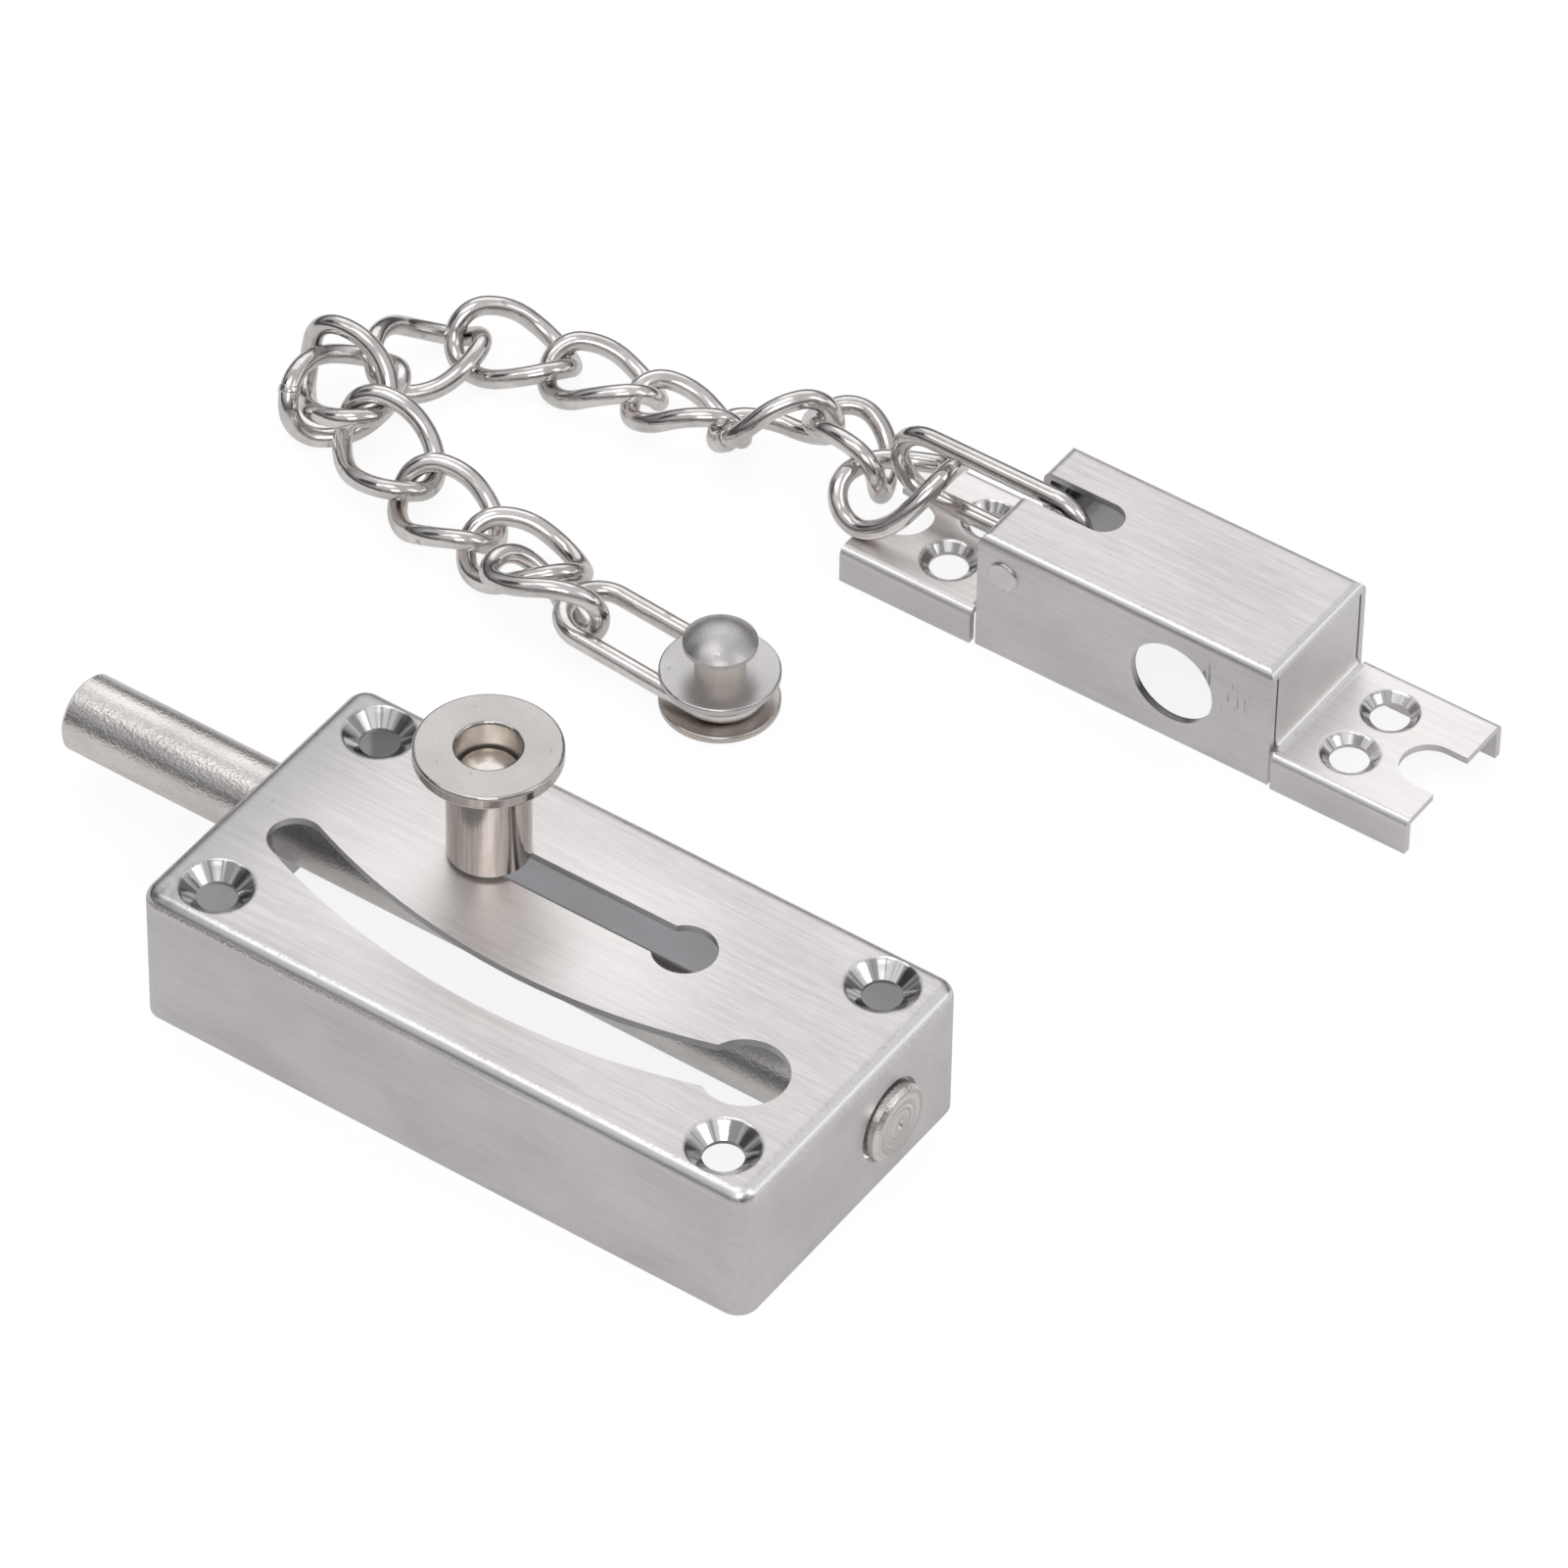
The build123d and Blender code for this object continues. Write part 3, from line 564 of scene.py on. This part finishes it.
def turned(name, tints, rough, axis, seed, drawn=0.0, satin=0.2, warm_reflection=0.0):
    """Plated metal turned about an upright axis: rings on its faces, lines down its sides that
    are partly drawing lines and partly painted reflection stripes, a warm painted reflection
    on its sides, and painted light in its bore.
    """
    metal = Metal(name, seed)
    x, y, z = metal.parts_of(metal.place)
    off_x, off_y = x - axis[0], y - axis[1]
    out = reach(off_x, off_y)
    rings = metal.noise(metal.joined(out * TURNED_RINGS, z * RING_HEIGHTS, seed), detail=2)
    off_x, off_y = off_x / out * SIDE_LINES, off_y / out * SIDE_LINES
    lines = metal.noise(metal.joined(off_x, off_y, z * LINE_HEIGHTS + seed), detail=3)
    cloud = metal.pattern(TURNED_CLOUDS, row=4, detail=3)
    grain = metal.pattern(TURNED_GRAIN, row=6, detail=2)
    nicks = metal.pattern(RIM_NICKS, row=8, detail=3).rise(0.66, 0.74)
    facing_z = abs(metal.facing()[2])
    level = facing_z.rise(*TURNED_LEVEL_FACE)
    side = facing_z.fall(*TURNED_SIDE_FACE)
    rim = (1.0 - level - side).most(0.0)
    bore = side * out.fall(*BORE_REACH)
    tone = cloud.rise(*SOFT) * 0.5 + rings.rise(*SOFT) * 0.2 + grain.rise(*SOFT) * 0.3
    metal.base(tone, tints)
    # Partly drawing lines and partly painted reflection stripes down the sides
    metal.lay(side * lines.rise(0.42, 0.6) * drawn, LINE_AND_REFLECTION_TINT)
    # Painted warm reflection on the sides
    metal.lay(side * warm_reflection, WARM_REFLECTION_TINT)
    metal.lay(nicks * level * 0.15, SMUDGE_AND_SHADE)
    metal.lay(rim * nicks * 0.8, BURNISH_AND_HIGHLIGHT)
    # Painted light in the bore
    metal.lay(bore * 0.8, BORE_PAINTED_LIGHT)
    rough = rough + level * satin + side * lines * 0.12 + nicks * 0.08 + bore * 0.2
    height = grain * level * 0.5 + lines * side * 0.6 + nicks * (rim + 0.25) + rings * 0.2
    return metal.finished(rough, height, strength=0.45, depth=0.00005)


def wear(material, *nodes):
    """Gives CAD nodes their finish."""
    for node in nodes:
        mesh = NODES[node].data
        mesh.materials.clear()
        mesh.materials.append(material)


# Upright axes, as their places in x and y
KNOB_AXIS = (-0.0138, 0.0073)
BUTTON_AXIS = (-0.018345, 0.060845)

# Plated metals: the lighter tint of each before the darker
RIVET_NICKEL = (0.74, 0.72, 0.70), (0.58, 0.56, 0.55)
BOLT_NICKEL = (0.84, 0.81, 0.785), (0.66, 0.63, 0.61)
KNOB_NICKEL = (0.59, 0.565, 0.55), (0.48, 0.455, 0.44)
PIN_NICKEL = (0.82, 0.77, 0.72), (0.62, 0.57, 0.52)
SPRING_STEEL = (0.55, 0.54, 0.53), (0.35, 0.34, 0.33)
CHAIN_NICKEL = (0.84, 0.81, 0.79), (0.58, 0.55, 0.53)
STUD_NICKEL = (0.66, 0.64, 0.635), (0.50, 0.48, 0.475)
DISC_NICKEL = (0.61, 0.59, 0.585), (0.49, 0.47, 0.465)
LOW_DISC_NICKEL = (0.66, 0.61, 0.57), (0.50, 0.46, 0.43)

wear(brushed_sheet("brushed case", CASE_PLATE, seed=0.0), "case")
wear(brushed_sheet("brushed keeper", KEEPER_PLATE, seed=3.0), "keeper")
rivet_plate = wire_plate("rivet", RIVET_NICKEL, rough=0.22, seed=1.0, scratch=0.4)
wear(rivet_plate, "keeper_pin")
wear(bolt_plate("bolt nickel", BOLT_NICKEL, seed=2.0), "bolt")
wear(
    turned("knob nickel", KNOB_NICKEL, 0.11, KNOB_AXIS, seed=3.0, drawn=0.7, warm_reflection=0.2),
    "knob_sleeve",
)
wear(
    turned("pin nickel", PIN_NICKEL, 0.14, KNOB_AXIS, seed=4.0, drawn=0.3, satin=0.1, warm_reflection=0.1),
    "knob_pin",
)
wear(
    wire_plate("spring steel", SPRING_STEEL, rough=0.28, seed=5.0, scratch=0.2),
    "knob_spring",
)
chain_nickel = wire_plate("chain nickel", CHAIN_NICKEL, rough=0.11, seed=6.0, scratch=0.5)
links = [name for name in NODES if name.startswith("chain_link")]
wear(chain_nickel, *links, "end_link", "keeper_ring")
wear(
    turned("stud nickel", STUD_NICKEL, 0.36, BUTTON_AXIS, seed=7.0, drawn=0.4, satin=0.1, warm_reflection=0.2),
    "button_stud",
)
wear(turned("disc nickel", DISC_NICKEL, 0.15, BUTTON_AXIS, seed=8.0), "button_upper_disc")
wear(turned("low disc nickel", LOW_DISC_NICKEL, 0.15, BUTTON_AXIS, seed=9.0), "button_lower_disc")

# Faces that meet at less than this angle are shaded as one
SMOOTH_UNDER = math.radians(40)


def rounded_rims(piece, offset, steps, on_rim):
    """Rounds the edges of a new piece that the test finds on a rim, from their two ends."""
    bpy.ops.object.mode_set(mode="EDIT")
    bpy.ops.mesh.select_mode(type="EDGE")
    bpy.ops.mesh.select_all(action="DESELECT")
    bpy.ops.object.mode_set(mode="OBJECT")
    points = piece.data.vertices
    for edge in piece.data.edges:
        edge.select = on_rim(*(points[end].co for end in edge.vertices))
    bpy.ops.object.mode_set(mode="EDIT")
    bpy.ops.mesh.bevel(offset=offset, segments=steps, profile=0.5, affect="EDGES")
    bpy.ops.object.mode_set(mode="OBJECT")
    bpy.ops.object.shade_smooth_by_angle(angle=SMOOTH_UNDER)


# The rivet's flat heads, pressed against both long walls of the keeper
RIVET_PLACE = (0.0049, 0.0132)
RIVET_HEAD = 0.0021
RIVET_SIDES = 96
RIVET_PROUD = 0.00037
RIVET_RIM = 0.00026
RIVET_RIM_STEPS = 6
KEEPER_FRONT = 0.0876
KEEPER_BACK = 0.1082
BURIED = 0.0004


def rivet_head(name, wall, outward):
    """One head with a round rim. It stands out of the wall along y, or against it for -1."""

    def on_outer_rim(*ends):
        return all((end.y - wall) * outward > 0 for end in ends)

    bpy.ops.object.select_all(action="DESELECT")
    inner, outer = wall - outward * BURIED, wall + outward * RIVET_PROUD
    bpy.ops.mesh.primitive_cylinder_add(
        vertices=RIVET_SIDES,
        radius=RIVET_HEAD,
        depth=abs(outer - inner),
        location=(RIVET_PLACE[0], (inner + outer) / 2, RIVET_PLACE[1]),
        rotation=(math.pi / 2, 0, 0),
    )
    piece = bpy.context.object
    piece.name = name
    bpy.ops.object.transform_apply(location=True, rotation=True, scale=True)
    rounded_rims(piece, RIVET_RIM, RIVET_RIM_STEPS, on_outer_rim)
    piece.data.materials.append(rivet_plate)
    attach(piece, "plates")


rivet_head("rivet_head_front", KEEPER_FRONT, outward=-1.0)
rivet_head("rivet_head_back", KEEPER_BACK, outward=1.0)

# Small raised seams where the ends of a link's wire were joined
SEAM_RADIUS = 0.00139
SEAM_LENGTH = 0.0013
SEAM_SIDES = 40
SEAM_RIM = SEAM_LENGTH * 0.3
SEAM_RIM_STEPS = 5


def seam(link, place, along):
    """One collar round a link's wire, at this place and along the wire's run there."""

    def on_end_rim(one, two):
        return one.z * two.z > 0

    bpy.ops.object.select_all(action="DESELECT")
    bpy.ops.mesh.primitive_cylinder_add(
        vertices=SEAM_SIDES, radius=SEAM_RADIUS, depth=SEAM_LENGTH, location=(0, 0, 0)
    )
    piece = bpy.context.object
    piece.name = "seam_on_" + link
    rounded_rims(piece, SEAM_RIM, SEAM_RIM_STEPS, on_end_rim)
    piece.rotation_mode = "QUATERNION"
    piece.rotation_quaternion = Vector(along).to_track_quat("Z", "Y")
    piece.location = place
    bpy.ops.object.transform_apply(location=True, rotation=True, scale=True)
    piece.data.materials.append(chain_nickel)
    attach(piece, link)


seam("chain_link_03", (-0.04023, 0.09345, 0.00728), (-1.28, -0.08, -1.42))
seam("chain_link_08", (-0.08999, 0.06954, 0.00690), (0.56, -1.39, -1.17))

# The spring's coil, as a merged and smoothed copy that moves with the bolt. It keeps its
# length, though the real coil shortens when the knob is lifted against it.
SAME_POINT = 0.000001

bpy.ops.object.select_all(action="DESELECT")
coil = bpy.data.objects.new("knob_spring_coil", NODES["knob_spring"].data.copy())
bpy.context.scene.collection.objects.link(coil)
bpy.context.view_layer.objects.active = coil
coil.select_set(True)
bpy.ops.object.mode_set(mode="EDIT")
bpy.ops.mesh.select_all(action="SELECT")
bpy.ops.mesh.remove_doubles(threshold=SAME_POINT)
bpy.ops.object.mode_set(mode="OBJECT")
bpy.ops.object.shade_smooth_by_angle(angle=SMOOTH_UNDER)
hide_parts("knob_spring")
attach(coil, "bolt")
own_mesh(coil)

# Floor: white to the camera but for the object's shadow, and darker in the reflections
FLOOR_HEIGHT = -0.0001
FLOOR_SIZE = 4.0
FLOOR_TINT = (0.80, 0.80, 0.80)
FLOOR_TINT_SEEN = (0.21, 0.21, 0.21)
FLOOR_TINT_REFLECTED = (0.42, 0.42, 0.42)
FLOOR_GLOW_SEEN = 0.86
FLOOR_GLOW_REFLECTED = 0.40
BLACK = (0.0, 0.0, 0.0)
WHITE = (1.0, 1.0, 1.0)

bpy.ops.mesh.primitive_plane_add(size=FLOOR_SIZE, location=(0, 0, FLOOR_HEIGHT))
floor = bpy.context.object
floor.name = "floor"
pale = Finish("pale floor")
seen = pale.light_path("Is Camera Ray")
through = pale.light_path("Is Transmission Ray")
reflected = pale.light_path("Is Glossy Ray")
glow = ((seen + through) * FLOOR_GLOW_SEEN + reflected * FLOOR_GLOW_REFLECTED).least(1.0)
tint = pale.colours(reflected, FLOOR_TINT, FLOOR_TINT_REFLECTED)
pale.set(
    Base_Color=pale.colours(seen, tint, FLOOR_TINT_SEEN),
    Roughness=0.9,
    Specular_IOR_Level=0.0,
    Emission_Color=pale.colours(glow, BLACK, WHITE),
    Emission_Strength=1.0,
)
floor.data.materials.append(pale.material)

# Studio: a room that is white to the camera. In the reflections it is pale above and dark
# below, with one dark card.
ROOM_LOW = (0.07, 0.07, 0.075)
ROOM_HIGH = (0.66, 0.66, 0.675)
ROOM_RISE = (0.10, 0.70)
DARK_CARD = (-0.696, -0.370, 0.616)
DARK_CARD_EDGE = (0.935, 0.985)


class Room(Finish):
    """The room's light, worked out in the same way as a finish."""

    def __init__(self, world):
        self.start(world.node_tree, "ShaderNodeBackground", "ShaderNodeOutputWorld")


world = bpy.data.worlds.new("studio")
world.use_nodes = True
bpy.context.scene.world = world
room = Room(world)
across, deep, height = room.parts_of(room.node("ShaderNodeTexCoord", output="Generated"))
walls = room.colours(height.rise(*ROOM_RISE), ROOM_LOW, ROOM_HIGH)
towards_card = across * DARK_CARD[0] + deep * DARK_CARD[1] + height * DARK_CARD[2]
walls = room.colours(towards_card.rise(*DARK_CARD_EDGE), walls, ROOM_LOW)
seen = room.light_path("Is Camera Ray")
through = room.light_path("Is Transmission Ray")
room.set(Color=room.colours((seen + through).least(1.0), walls, WHITE), Strength=1.0)

# The point on the floor that all the lamps face
LAMP_AIM = Vector((0.0, 0.04, 0.0))


def soft_box(name, place, size, radiance):
    """A rectangular lamp of an even brightness that faces the object."""
    lamp = bpy.data.lights.new(name, "AREA")
    lamp.shape = "RECTANGLE"
    lamp.size, lamp.size_y = size
    lamp.energy = radiance * math.pi * size[0] * size[1]
    box = bpy.data.objects.new(name, lamp)
    box.location = place
    box.rotation_mode = "QUATERNION"
    box.rotation_quaternion = (LAMP_AIM - Vector(place)).to_track_quat("-Z", "Y")
    bpy.context.scene.collection.objects.link(box)


soft_box("back soft box", (-0.50, 0.85, 0.95), size=(1.1, 0.8), radiance=0.62)
soft_box("right soft box", (0.95, 0.25, 0.75), size=(0.4, 0.7), radiance=1.2)
soft_box("left soft box", (-0.68, -0.45, 1.25), size=(0.35, 0.35), radiance=1.3)
soft_box("low right soft box", (0.95, 0.74, 0.30), size=(0.8, 0.4), radiance=0.9)
soft_box("overhead soft box", (-0.15, -0.20, 1.30), size=(0.6, 0.6), radiance=1.3)
soft_box("front soft box", (0.70, -1.03, 1.22), size=(0.7, 0.6), radiance=2.9)
